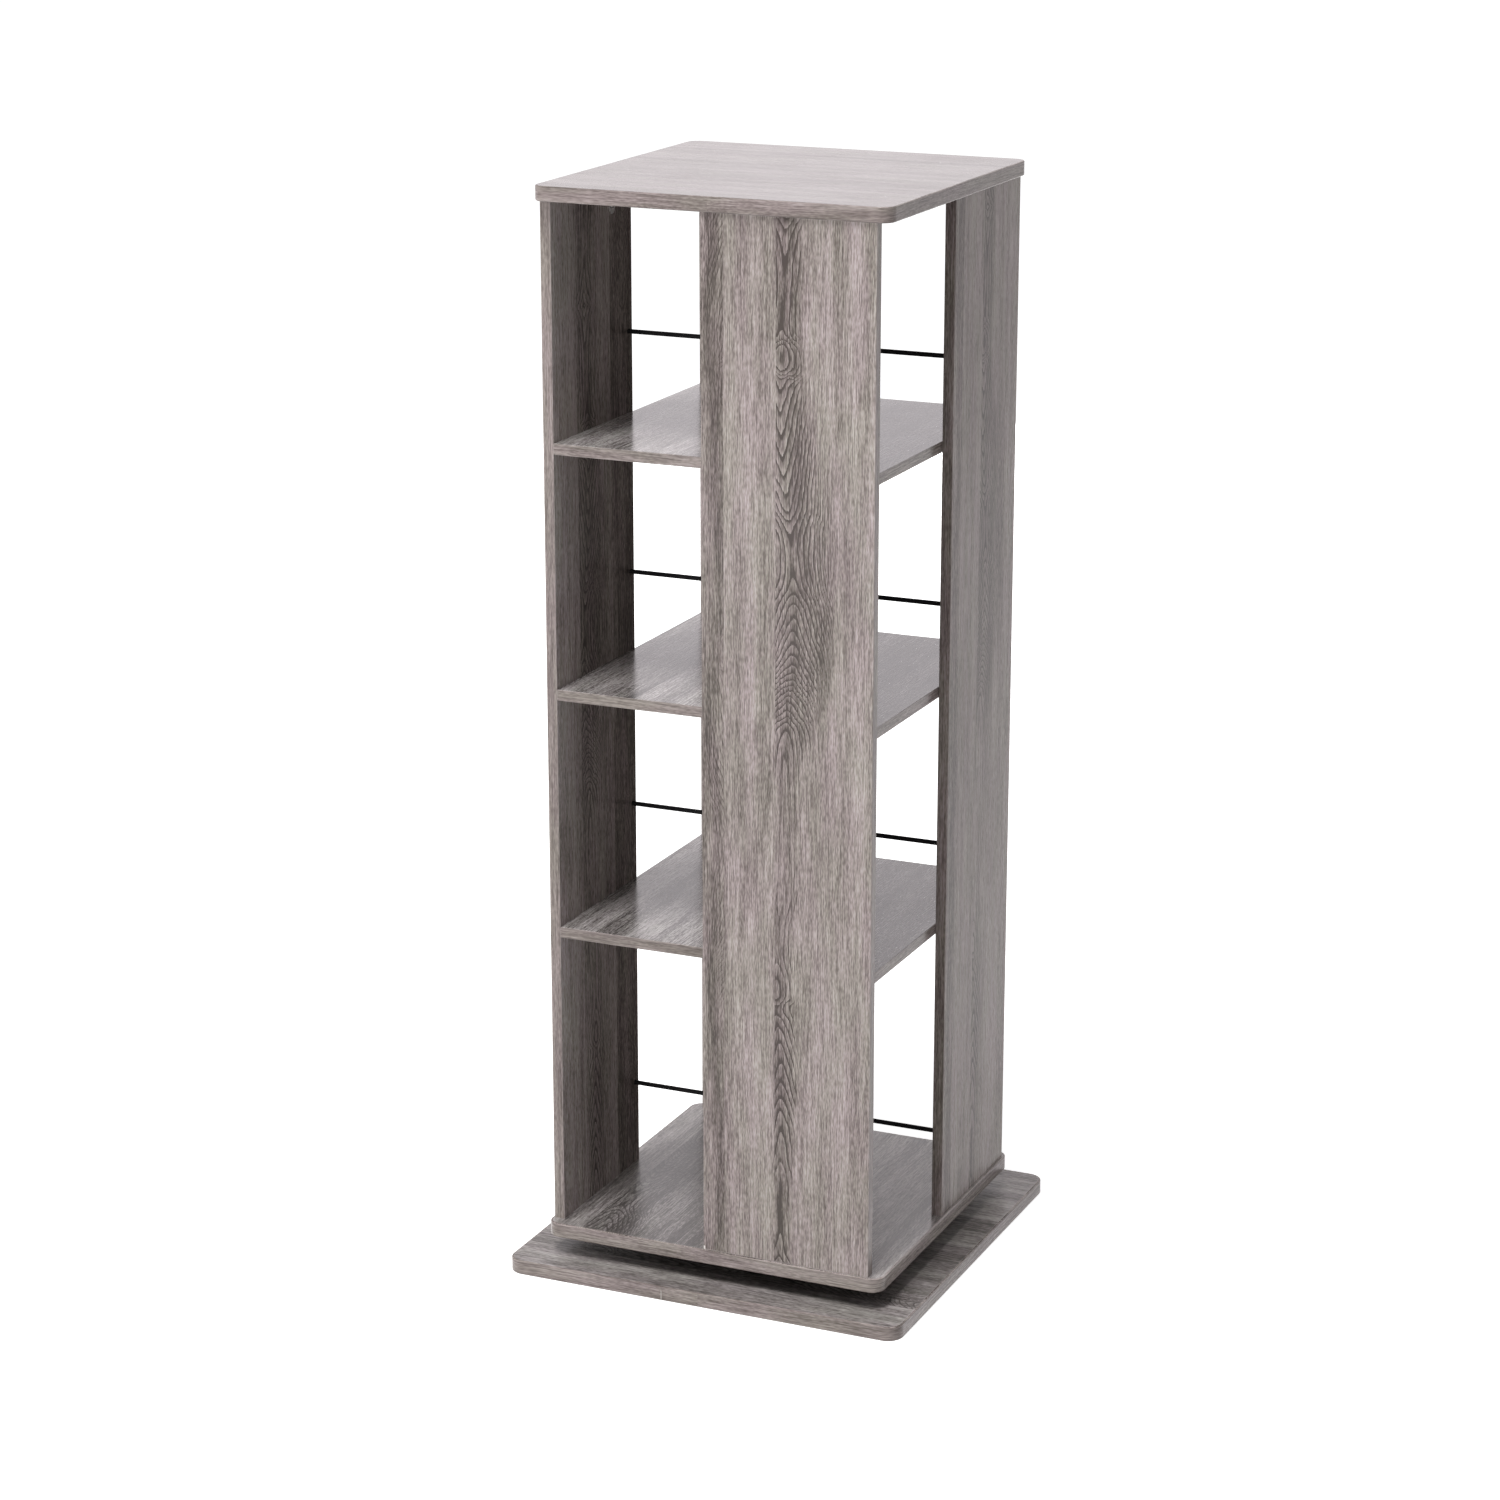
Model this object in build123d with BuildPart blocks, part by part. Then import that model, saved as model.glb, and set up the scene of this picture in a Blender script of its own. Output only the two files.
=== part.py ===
"""A revolving bookcase: a square tower of open shelves that turns on a base board.

Four upright panels stand in a pinwheel around the shelves. Each one covers a little over half of its side,
so every quarter of a shelf opens to one side. Millimetres, +Z up, the front is towards -Y, and the origin
is the middle of the base board's underside.
"""
from build123d import *
import math
import os

os.makedirs("parts", exist_ok=True)

# Boards
SHELF_SIDE = 364.0
SHELF_THICK = 12.0
PANEL_THICK = 12.0
THICK_BOARD = 16.0
DECK_OVERHANG = 3.0
BASE_MARGIN = 33.0
DECK_CORNER = 15.0
BASE_CORNER = 18.0
BOARD_EASE = 0.7

# Heights
SWIVEL_HEIGHT = 20.0
LOW_TIER = 326.0
TIER = 252.0

# Edge bands, with a butt seam where the two ends of the strip meet
BAND_THICK = 2.0
BAND_ROUND = 1.4
GLUE_LINE = 0.05
SEAM = 0.4
BASE_SEAM_X = -43.0

# Book-stop rods
ROD_DIA = 5.0
ROD_RISE = 88.0
LOW_ROD_RISE = 96.0
ROD_SEAT = 7.5
ROD_TIP = 0.6
ROD_CROSSING_GAP = 0.6
ROD_TO_PANEL_EDGE = 9.0

# Cam locks, cam bolts and dowels
JOINT_INSET = 47.0
CAM_DIA = 15.0
CAM_HEIGHT = 9.3
CAM_SETBACK = 26.0
CAM_SLOT = 7.0
CAM_SLOT_WIDTH = 1.4
CAM_SLOT_DEPTH = 1.6
BOLT_DIA = 5.0
BOLT_THREAD = 8.0
BOLT_NECK_DIA = 3.0
BOLT_NECK = 3.5
BOLT_HEAD = 2.4
DOWEL_DIA = 6.0
DOWEL_IN_FACE = 8.0
DOWEL_IN_EDGE = 22.0
DOWEL_TIP = 0.8

# Screws
FOOT_SCREW_DIA = 5.0
FOOT_SCREW_HEAD = 9.6
FOOT_SCREW_HEAD_HEIGHT = 3.0
FOOT_SCREW_BITE = 24.0
PLATE_SCREW_DIA = 4.0
PLATE_SCREW_BITE = 11.0
PLATE_SCREW_HEAD = 8.0
PLATE_SCREW_HEAD_HEIGHT = 2.4
CROSS = 4.0
CROSS_WIDTH = 1.0
CROSS_DEPTH = 1.4
ACCESS_HOLE_DIA = 16.0

# Swivel
PLATE_SIDE = 200.0
PLATE_CORNER = 12.0
PLATE_SHEET = 2.5
PLATE_SCREW_INSET = 10.0
HUB_SHEET = 3.7
HUB_SLOPE = 4.5
RACE_RADIUS = 70.0
RACE_LAND = 10.0
BALL_DIA = 8.0
BALL_COUNT = 18
RACE_DEPTH = 1.2
CAGE_THICK = 1.5
CAGE_LAND = 4.0
PIN_DIA = 12.0
PIN_FLANGE = 6.0
PIN_HEAD_HEIGHT = 1.6
BUSH_WALL = 4.0
WASHER_THICK = 1.2

# Clearances
FIT = 0.1
RUNNING_FIT = 0.1
RUNNING_GAP = 0.25
HOLE_SPARE = 0.4
OVERRUN = 1.0

# Sizes that follow from the ones above
PANEL_WIDTH = SHELF_SIDE / 2 + ROD_TO_PANEL_EDGE
DECK_SIDE = SHELF_SIDE + 2 * (PANEL_THICK + DECK_OVERHANG)
BASE_SIDE = DECK_SIDE + 2 * BASE_MARGIN
BASE_TOP = THICK_BOARD
DECK_UNDER = BASE_TOP + SWIVEL_HEIGHT
DECK_TOP = DECK_UNDER + THICK_BOARD
LOWER_SHELF = DECK_TOP + LOW_TIER + SHELF_THICK
MIDDLE_SHELF = LOWER_SHELF + TIER + SHELF_THICK
UPPER_SHELF = MIDDLE_SHELF + TIER + SHELF_THICK
PANEL_TOP = UPPER_SHELF + TIER
PANEL_HEIGHT = PANEL_TOP - DECK_TOP

SHELF_TOPS = {"lower": LOWER_SHELF, "middle": MIDDLE_SHELF, "upper": UPPER_SHELF}
SHELF_JOINTS = {level: top - SHELF_THICK / 2 for level, top in SHELF_TOPS.items()}
CROSS_ROD_HEIGHTS = [DECK_TOP + LOW_ROD_RISE] + [top + ROD_RISE for top in SHELF_TOPS.values()]
DEPTH_ROD_HEIGHTS = [height + ROD_DIA + ROD_CROSSING_GAP for height in CROSS_ROD_HEIGHTS]

# One drawing, of the front, serves all four sides, a quarter turn apart
SIDES = {"front": 0, "right": 90, "back": 180, "left": 270}
FACE_Y = -SHELF_SIDE / 2
PANEL_MID_Y = FACE_Y - PANEL_THICK / 2
PANEL_MID_X = SHELF_SIDE / 2 - PANEL_WIDTH / 2
DOWEL_X = SHELF_SIDE / 2 - JOINT_INSET
CAM_X = SHELF_SIDE / 2 - PANEL_WIDTH + JOINT_INSET
FOOT_XS = (DOWEL_X, CAM_X)

UP = (0, 0, 1)
DOWN = (0, 0, -1)
INWARD = (0, 1, 0)
OUTWARD = (0, -1, 0)

# A round shape that starts at its place and goes up, or ends there and goes down
LOW = (Align.CENTER, Align.CENTER, Align.MIN)
HIGH = (Align.CENTER, Align.CENTER, Align.MAX)


def turned(angle):
    """The ground plane, turned about the tower's axis to one of its sides."""
    return Plane.XY.rotated((0, 0, angle))


def at(x, y, z, facing):
    """A place on a face of the front side, with the way out of the face."""
    return Plane((x, y, z), z_dir=facing)


def keep(piece, name):
    """Name a finished piece and write its file."""
    piece.part.label = name
    export_step(piece.part, f"parts/{name}.step")


def pin_shape(radius, height, tip):
    """A round pin up from the place it is put, with a chamfer of the tip's size at both ends."""
    Cone(radius - tip, radius, tip, align=LOW)
    with Locations((0, 0, tip)):
        Cylinder(radius, height - 2 * tip, align=LOW)
    with Locations((0, 0, height - tip)):
        Cone(radius, radius - tip, tip, align=LOW)


# Base, deck and top: square boards with round corners, each wrapped in an edge band

def board_sketch(side, corner, plane):
    """The plan of a board inside its edge band."""
    inset = BAND_THICK + GLUE_LINE
    with BuildSketch(plane) as plan:
        RectangleRounded(side - 2 * inset, side - 2 * inset, corner - inset)
    return plan.sketch


def edge_band(name, side, corner, height, seam_x, seam_y):
    """A strip round a board's edge, rounded outside, with a fine seam at one place."""
    with BuildPart() as band:
        with BuildSketch(Plane.XY.offset(height)):
            RectangleRounded(side, side, corner)
            RectangleRounded(
                side - 2 * BAND_THICK,
                side - 2 * BAND_THICK,
                corner - BAND_THICK,
                mode=Mode.SUBTRACT,
            )
        extrude(amount=THICK_BOARD)
        rims = band.faces().filter_by(Axis.Z).sort_by(Axis.Z)
        arrises = rims[0].outer_wire().edges() + rims[-1].outer_wire().edges()
        fillet(arrises, BAND_ROUND)
        with Locations((seam_x, seam_y, height + THICK_BOARD / 2)):
            Box(SEAM, 2 * BAND_THICK + OVERRUN, THICK_BOARD + OVERRUN, mode=Mode.SUBTRACT)
    keep(band, name)


PLATE_PITCH = PLATE_SIDE - 2 * PLATE_SCREW_INSET
PLATE_SCREW_ORBIT = PLATE_PITCH / math.sqrt(2)
PLATE_PILOT_DEPTH = PLATE_SCREW_BITE + HOLE_SPARE

with BuildPart() as base_board:
    add(board_sketch(BASE_SIDE, BASE_CORNER, Plane.XY))
    extrude(amount=THICK_BOARD)
    with Locations((0, 0, BASE_TOP)):
        with GridLocations(PLATE_PITCH, PLATE_PITCH, 2, 2):
            Hole(PLATE_SCREW_DIA / 2 + FIT, PLATE_PILOT_DEPTH)
        # the hole that a screwdriver reaches the upper plate's screws through
        with Locations((0, -PLATE_SCREW_ORBIT)):
            Hole(ACCESS_HOLE_DIA / 2)
keep(base_board, "base_board")
edge_band("base_edge_band", BASE_SIDE, BASE_CORNER, 0, BASE_SEAM_X, -BASE_SIDE / 2)

FOOT_SCREW_HOLE = FOOT_SCREW_DIA / 2 + FIT
FOOT_SCREW_SINK = FOOT_SCREW_HEAD / 2 + FIT

with BuildPart() as deck_board:
    add(board_sketch(DECK_SIDE, DECK_CORNER, Plane.XY.offset(DECK_UNDER)))
    extrude(amount=THICK_BOARD)
    with Locations(at(0, 0, DECK_UNDER, DOWN)):
        with GridLocations(PLATE_PITCH, PLATE_PITCH, 2, 2):
            Hole(PLATE_SCREW_DIA / 2 + FIT, PLATE_PILOT_DEPTH)
    with PolarLocations(0, len(SIDES)):
        with Locations([at(x, PANEL_MID_Y, DECK_UNDER, DOWN) for x in FOOT_XS]):
            CounterBoreHole(FOOT_SCREW_HOLE, FOOT_SCREW_SINK, FOOT_SCREW_HEAD_HEIGHT + FIT)
keep(deck_board, "deck_board")
edge_band("deck_edge_band", DECK_SIDE, DECK_CORNER, DECK_UNDER, 0, DECK_SIDE / 2)

BOLT_HOLE = BOLT_DIA / 2 + FIT
BOLT_HOLE_DEPTH = BOLT_THREAD + HOLE_SPARE
DOWEL_HOLE = DOWEL_DIA / 2 + FIT

with BuildPart() as top_board:
    add(board_sketch(DECK_SIDE, DECK_CORNER, Plane.XY.offset(PANEL_TOP)))
    extrude(amount=THICK_BOARD)
    with PolarLocations(0, len(SIDES)):
        with Locations(at(CAM_X, PANEL_MID_Y, PANEL_TOP, DOWN)):
            Hole(BOLT_HOLE, BOLT_HOLE_DEPTH)
        with Locations(at(DOWEL_X, PANEL_MID_Y, PANEL_TOP, DOWN)):
            Hole(DOWEL_HOLE, DOWEL_IN_FACE + HOLE_SPARE)
keep(top_board, "top_board")
edge_band("top_edge_band", DECK_SIDE, DECK_CORNER, PANEL_TOP, 0, DECK_SIDE / 2)

# Panels and shelves

CAM_HOLE = CAM_DIA / 2 + FIT
CAM_HOLE_DEPTH = CAM_HEIGHT + FIT
ROD_HOLE = ROD_DIA / 2 + FIT
ROD_HOLE_DEPTH = ROD_SEAT + HOLE_SPARE

for side, angle in SIDES.items():
    rod_heights = DEPTH_ROD_HEIGHTS if side in ("front", "back") else CROSS_ROD_HEIGHTS
    with BuildPart(turned(angle)) as panel:
        with BuildSketch(turned(angle).offset(DECK_TOP)) as plan:
            with Locations((PANEL_MID_X, PANEL_MID_Y)):
                Rectangle(PANEL_WIDTH, PANEL_THICK)
            fillet(plan.vertices(), BOARD_EASE)
        extrude(amount=PANEL_HEIGHT)
        # the inner face holds the rods, and the bolts and dowels of the shelves
        with Locations([at(0, FACE_Y, height, INWARD) for height in rod_heights]):
            Hole(ROD_HOLE, ROD_HOLE_DEPTH)
        with Locations([at(CAM_X, FACE_Y, height, INWARD) for height in SHELF_JOINTS.values()]):
            Hole(BOLT_HOLE, BOLT_HOLE_DEPTH)
        with Locations([at(DOWEL_X, FACE_Y, height, INWARD) for height in SHELF_JOINTS.values()]):
            Hole(DOWEL_HOLE, DOWEL_IN_FACE + HOLE_SPARE)
        # the upper end takes a cam lock with its bolt, and a dowel
        with Locations(at(CAM_X, FACE_Y, PANEL_TOP - CAM_SETBACK, INWARD)):
            Hole(CAM_HOLE, CAM_HOLE_DEPTH)
        with Locations(at(CAM_X, PANEL_MID_Y, PANEL_TOP, UP)):
            Hole(BOLT_HOLE, CAM_SETBACK)
        with Locations(at(DOWEL_X, PANEL_MID_Y, PANEL_TOP, UP)):
            Hole(DOWEL_HOLE, DOWEL_IN_EDGE + HOLE_SPARE)
        # the lower end takes two screws from under the deck
        with Locations([at(x, PANEL_MID_Y, DECK_TOP, DOWN) for x in FOOT_XS]):
            Hole(FOOT_SCREW_HOLE, FOOT_SCREW_BITE + HOLE_SPARE)
    keep(panel, f"panel_{side}")

for level, top in SHELF_TOPS.items():
    under = top - SHELF_THICK
    joint = SHELF_JOINTS[level]
    with BuildPart() as shelf:
        with BuildSketch(Plane.XY.offset(under)):
            Rectangle(SHELF_SIDE, SHELF_SIDE)
        extrude(amount=SHELF_THICK)
        rims = shelf.faces().filter_by(Axis.Z)
        fillet(rims.edges(), BOARD_EASE)
        with PolarLocations(0, len(SIDES)):
            with Locations(at(CAM_X, FACE_Y + CAM_SETBACK, under, DOWN)):
                Hole(CAM_HOLE, CAM_HOLE_DEPTH)
            with Locations(at(CAM_X, FACE_Y, joint, OUTWARD)):
                Hole(BOLT_HOLE, CAM_SETBACK)
            with Locations(at(DOWEL_X, FACE_Y, joint, OUTWARD)):
                Hole(DOWEL_HOLE, DOWEL_IN_EDGE + HOLE_SPARE)
    keep(shelf, f"shelf_{level}")

# Book-stop rods, in blind holes in the panels

ROD_LENGTH = SHELF_SIDE + 2 * ROD_SEAT

for number, height in enumerate(CROSS_ROD_HEIGHTS, start=1):
    with BuildPart(Plane((-ROD_LENGTH / 2, 0, height), z_dir=(1, 0, 0))) as cross_rod:
        pin_shape(ROD_DIA / 2, ROD_LENGTH, ROD_TIP)
    keep(cross_rod, f"cross_rod_{number}")

for number, height in enumerate(DEPTH_ROD_HEIGHTS, start=1):
    with BuildPart(Plane((0, -ROD_LENGTH / 2, height), z_dir=(0, 1, 0))) as depth_rod:
        pin_shape(ROD_DIA / 2, ROD_LENGTH, ROD_TIP)
    keep(depth_rod, f"depth_rod_{number}")

# Joint fittings: each set of four serves the panel tops or one shelf. A set is given by three places of
# the front side: the cam's mouth, the bolt's foot on the board face and the dowel's foot on the board face

BOLT_REACH = CAM_SETBACK + BOLT_HEAD / 2
BOLT_SHANK = BOLT_REACH - BOLT_HEAD - BOLT_NECK

FITTING_SETS = {
    "top": (
        at(CAM_X, FACE_Y, PANEL_TOP - CAM_SETBACK, INWARD),
        at(CAM_X, PANEL_MID_Y, PANEL_TOP, DOWN),
        at(DOWEL_X, PANEL_MID_Y, PANEL_TOP, DOWN),
        (CAM_X, PANEL_MID_Y, PANEL_TOP - CAM_SETBACK),
    ),
}
for level, joint in SHELF_JOINTS.items():
    FITTING_SETS[f"{level}_shelf"] = (
        at(CAM_X, FACE_Y + CAM_SETBACK, joint - SHELF_THICK / 2, DOWN),
        at(CAM_X, FACE_Y, joint, INWARD),
        at(DOWEL_X, FACE_Y, joint, INWARD),
        (CAM_X, FACE_Y + CAM_SETBACK, joint),
    )

for set_name, (cam_mouth, bolt_foot, dowel_foot, cam_centre) in FITTING_SETS.items():
    bolt_way = Plane(cam_centre, z_dir=-bolt_foot.z_dir)
    with BuildPart() as cams:
        with PolarLocations(0, len(SIDES)):
            with Locations(cam_mouth):
                Cylinder(CAM_DIA / 2, CAM_HEIGHT, align=HIGH)
                Box(CAM_SLOT, CAM_SLOT_WIDTH, 2 * CAM_SLOT_DEPTH, mode=Mode.SUBTRACT)
                Box(CAM_SLOT_WIDTH, CAM_SLOT, 2 * CAM_SLOT_DEPTH, mode=Mode.SUBTRACT)
            # a channel from the cam's middle outwards, for the bolt's neck and head
            with Locations(bolt_way.offset(-BOLT_HEAD)):
                Cylinder(BOLT_HOLE, CAM_DIA, align=LOW, mode=Mode.SUBTRACT)
    keep(cams, f"{set_name}_cam_locks")

    with BuildPart() as bolts:
        with PolarLocations(0, len(SIDES)):
            with Locations(bolt_foot):
                Cylinder(BOLT_DIA / 2, BOLT_THREAD, align=HIGH)
                Cylinder(BOLT_DIA / 2, BOLT_SHANK, align=LOW)
                with Locations((0, 0, BOLT_SHANK)):
                    Cylinder(BOLT_NECK_DIA / 2, BOLT_NECK, align=LOW)
                with Locations((0, 0, BOLT_SHANK + BOLT_NECK)):
                    Cylinder(BOLT_DIA / 2, BOLT_HEAD, align=LOW)
    keep(bolts, f"{set_name}_cam_bolts")

    with BuildPart() as dowels:
        with PolarLocations(0, len(SIDES)):
            with Locations(dowel_foot.offset(-DOWEL_IN_FACE)):
                pin_shape(DOWEL_DIA / 2, DOWEL_IN_FACE + DOWEL_IN_EDGE, DOWEL_TIP)
    keep(dowels, f"{set_name}_dowels")


# Screws: a head with a cross recess, and a plain shank

def screw_shape(head, head_height, shank, reach):
    """A screw whose head stands on the place it is put, with its shank going down from there."""
    Cylinder(head / 2, head_height, align=LOW)
    Cylinder(shank / 2, reach, align=HIGH)
    with Locations((0, 0, head_height)):
        Box(CROSS, CROSS_WIDTH, 2 * CROSS_DEPTH, mode=Mode.SUBTRACT)
        Box(CROSS_WIDTH, CROSS, 2 * CROSS_DEPTH, mode=Mode.SUBTRACT)


FOOT_SEAT = DECK_UNDER + FOOT_SCREW_HEAD_HEIGHT + FIT
FOOT_SCREW_REACH = DECK_TOP - FOOT_SEAT + FOOT_SCREW_BITE

with BuildPart() as foot_screws:
    with PolarLocations(0, len(SIDES)):
        with Locations([at(x, PANEL_MID_Y, FOOT_SEAT, DOWN) for x in FOOT_XS]):
            screw_shape(FOOT_SCREW_HEAD, FOOT_SCREW_HEAD_HEIGHT, FOOT_SCREW_DIA, FOOT_SCREW_REACH)
keep(foot_screws, "panel_foot_screws")

PLATE_SCREW_LENGTH = PLATE_SHEET + PLATE_SCREW_BITE

# Swivel: two pressed plates with a ball race between them, held together by a king pin

MID_HEIGHT = SWIVEL_HEIGHT / 2
GROOVE_RADIUS = BALL_DIA / 2 + RUNNING_FIT
HUB_TOP = MID_HEIGHT - GROOVE_RADIUS + RACE_DEPTH
HUB_UNDER = HUB_TOP - HUB_SHEET
HUB_RADIUS = RACE_RADIUS + RACE_LAND
PIN_BORE = PIN_DIA / 2 + RUNNING_FIT


def swivel_plate(name, height, way):
    """A square sheet whose round middle is raised to carry half of the ball race.

    The way is up for the plate on the base and down for the plate under the deck.
    """
    flat = Plane((0, 0, height), x_dir=(1, 0, 0), z_dir=(0, 0, way))
    section = Plane((0, 0, height), x_dir=(1, 0, 0), z_dir=(0, -way, 0))
    slope_foot = HUB_RADIUS + HUB_SLOPE
    with BuildPart(flat) as plate:
        with BuildSketch(flat):
            RectangleRounded(PLATE_SIDE, PLATE_SIDE, PLATE_CORNER)
            Circle(slope_foot, mode=Mode.SUBTRACT)
        extrude(amount=PLATE_SHEET)
        with BuildSketch(section):
            with BuildLine():
                Polyline(
                    (PIN_BORE, HUB_UNDER),
                    (HUB_RADIUS - PLATE_SHEET, HUB_UNDER),
                    (slope_foot - PLATE_SHEET, 0),
                    (slope_foot, 0),
                    (slope_foot, PLATE_SHEET),
                    (HUB_RADIUS, HUB_TOP),
                    (PIN_BORE, HUB_TOP),
                    close=True,
                )
            make_face()
        revolve(axis=Axis.Z)
        with Locations((0, 0, MID_HEIGHT)):
            Torus(RACE_RADIUS, GROOVE_RADIUS, mode=Mode.SUBTRACT)
        with Locations((0, 0, PLATE_SHEET)):
            with GridLocations(PLATE_PITCH, PLATE_PITCH, 2, 2):
                Hole(PLATE_SCREW_DIA / 2 + FIT, PLATE_SHEET)
    keep(plate, name)

    with BuildPart(flat) as plate_screws:
        with Locations((0, 0, PLATE_SHEET)):
            with GridLocations(PLATE_PITCH, PLATE_PITCH, 2, 2):
                screw_shape(
                    PLATE_SCREW_HEAD,
                    PLATE_SCREW_HEAD_HEIGHT,
                    PLATE_SCREW_DIA,
                    PLATE_SCREW_LENGTH,
                )
    keep(plate_screws, f"{name}_screws")


swivel_plate("swivel_lower_plate", BASE_TOP, 1)
swivel_plate("swivel_upper_plate", DECK_UNDER, -1)

swivel_middle = Plane.XY.offset(BASE_TOP + MID_HEIGHT)

with BuildPart(swivel_middle) as ball_cage:
    with BuildSketch(swivel_middle):
        Circle(RACE_RADIUS + BALL_DIA / 2 + CAGE_LAND)
        Circle(RACE_RADIUS - BALL_DIA / 2 - CAGE_LAND, mode=Mode.SUBTRACT)
        with PolarLocations(RACE_RADIUS, BALL_COUNT):
            Circle(BALL_DIA / 2 + RUNNING_GAP, mode=Mode.SUBTRACT)
    extrude(amount=CAGE_THICK / 2, both=True)
keep(ball_cage, "ball_cage")

with BuildPart(swivel_middle) as balls:
    with PolarLocations(RACE_RADIUS, BALL_COUNT):
        Sphere(BALL_DIA / 2)
keep(balls, "swivel_balls")

# The pin's lower flange is under the lower plate's middle, and its upper head is over the washer
PIN_FOOT = BASE_TOP + HUB_UNDER
UPPER_HUB_UNDER = DECK_UNDER - HUB_TOP
UPPER_HUB_TOP = DECK_UNDER - HUB_UNDER
WASHER_FOOT = UPPER_HUB_TOP + RUNNING_GAP
PIN_SHOULDER = WASHER_FOOT + WASHER_THICK

with BuildPart(Plane.XY.offset(PIN_FOOT)) as king_pin:
    Cylinder(PIN_DIA / 2 + PIN_FLANGE, PIN_HEAD_HEIGHT, align=HIGH)
    Cylinder(PIN_DIA / 2, PIN_SHOULDER - PIN_FOOT, align=LOW)
    with Locations((0, 0, PIN_SHOULDER - PIN_FOOT)):
        Cylinder(PIN_DIA / 2 + BUSH_WALL, PIN_HEAD_HEIGHT, align=LOW)
keep(king_pin, "king_pin")

with BuildPart(Plane.XY.offset(BASE_TOP + HUB_TOP)) as king_pin_bush:
    bush_height = UPPER_HUB_UNDER - RUNNING_GAP - BASE_TOP - HUB_TOP
    Cylinder(PIN_BORE + BUSH_WALL, bush_height, align=LOW)
    Cylinder(PIN_BORE, bush_height, align=LOW, mode=Mode.SUBTRACT)
keep(king_pin_bush, "king_pin_bush")

with BuildPart(Plane.XY.offset(WASHER_FOOT)) as king_pin_washer:
    Cylinder(PIN_DIA / 2 + PIN_FLANGE, WASHER_THICK, align=LOW)
    Cylinder(PIN_BORE, WASHER_THICK, align=LOW, mode=Mode.SUBTRACT)
keep(king_pin_washer, "king_pin_washer")
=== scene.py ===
# %% [markdown]
# # A revolving bookcase in grey oak foil
#
# A square base board lies on the floor. A ball swivel on it carries a tower of four upright panels, set
# like the blades of a pinwheel, with three shelves, a deck, a top board and thin black rods that stop the
# books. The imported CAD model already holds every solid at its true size, so this lesson leaves the shapes
# alone. It sets up the camera, the studio and the lamps, and then gives every solid its finish.

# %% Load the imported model
import math

import bpy
import numpy as np
from mathutils import Matrix, Vector


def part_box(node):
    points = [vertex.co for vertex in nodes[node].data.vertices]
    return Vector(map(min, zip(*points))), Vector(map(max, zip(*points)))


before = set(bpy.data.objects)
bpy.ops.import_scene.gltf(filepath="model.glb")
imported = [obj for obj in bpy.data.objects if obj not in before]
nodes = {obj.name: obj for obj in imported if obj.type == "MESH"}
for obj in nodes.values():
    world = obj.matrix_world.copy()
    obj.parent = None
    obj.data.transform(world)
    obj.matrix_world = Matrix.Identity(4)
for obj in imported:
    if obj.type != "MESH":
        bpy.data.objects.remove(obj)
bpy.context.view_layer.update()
scene = bpy.context.scene

# %% [markdown]
# ## The camera
#
# The picture is taken from the right of the front and from half a metre above the top board, with a long
# lens. The place, the turn and the lens were found by matching the corners of the boards to their places in
# the picture. The camera looks straight along its lens with no shift, so that it also serves the other
# sides.

# %% Camera
LENS_MM = 92.87
SENSOR_MM = 36.0
CAMERA_PLACE = (1.593, -3.699, 1.730)
TURN_TO_THE_RIGHT = math.radians(23.82)
LOOK_DOWN = math.radians(16.19)

lens = bpy.data.cameras.new("camera")
lens.sensor_width = SENSOR_MM
lens.lens = LENS_MM
camera = bpy.data.objects.new("camera", lens)
camera.location = CAMERA_PLACE
camera.rotation_euler = (math.pi / 2 - LOOK_DOWN, 0, TURN_TO_THE_RIGHT)
scene.collection.objects.link(camera)
scene.camera = camera
scene.view_settings.view_transform = "Standard"
print("camera at", CAMERA_PLACE, "with a lens of", LENS_MM, "mm")

# %% [markdown]
# ## Small helpers for node trees
#
# Every finish here is a tree of shader nodes. Adding a node, setting it up and linking it takes three or
# four lines each time, so these helpers do it in one. A value given to a socket may be a plain number, a
# colour or the output of another node.

# %% Adding and feeding a node
def feed(tree, socket, value):
    """Link an output to the socket, or set the socket to a plain value."""
    if isinstance(value, bpy.types.NodeSocket):
        tree.links.new(value, socket)
    else:
        socket.default_value = value


def add(tree, kind, inputs=None, **settings):
    """A new node of that kind, set up and fed; inputs maps socket names or numbers to values."""
    made = tree.nodes.new("ShaderNode" + kind)
    for name, value in settings.items():
        setattr(made, name, value)
    for name, value in (inputs or {}).items():
        feed(tree, made.inputs[name], value)
    return made


print("helpers:", feed.__name__, "and", add.__name__)

# %% Numbers, steps and colours
def calc(tree, operation, *values, clamp=False):
    """One step of arithmetic on numbers or outputs."""
    made = add(tree, "Math", dict(enumerate(values)), operation=operation, use_clamp=clamp)
    return made.outputs[0]


def ease(tree, value, start, end, low=0.0, high=1.0):
    """A smooth step of value from low at start to high at end."""
    inputs = {"Value": value, "From Min": start, "From Max": end, "To Min": low, "To Max": high}
    return add(tree, "MapRange", inputs, interpolation_type="SMOOTHSTEP").outputs["Result"]


def mixed(tree, share, first, second, blend="MIX"):
    """A colour between first and second."""
    made = add(tree, "Mix", {0: share, 6: first, 7: second}, data_type="RGBA", blend_type=blend)
    return made.outputs[2]


print("helpers:", calc.__name__, "and", ease.__name__, "and", mixed.__name__)

# %% [markdown]
# ## A white studio
#
# A photographer would let a sheet of white paper curve down from the wall and run on under the bookcase. A
# flat floor and the world do the same here and look alike from every side. Light Path tells the kinds of
# rays apart. The camera and the reflections find white, and a soft shadow stays under the base. The rays
# that carry light find a dim dome and a mid-grey floor, so the white never floods the wood. The white that
# the boards mirror is a touch lilac, which gives their sheen its cool tint.

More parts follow.
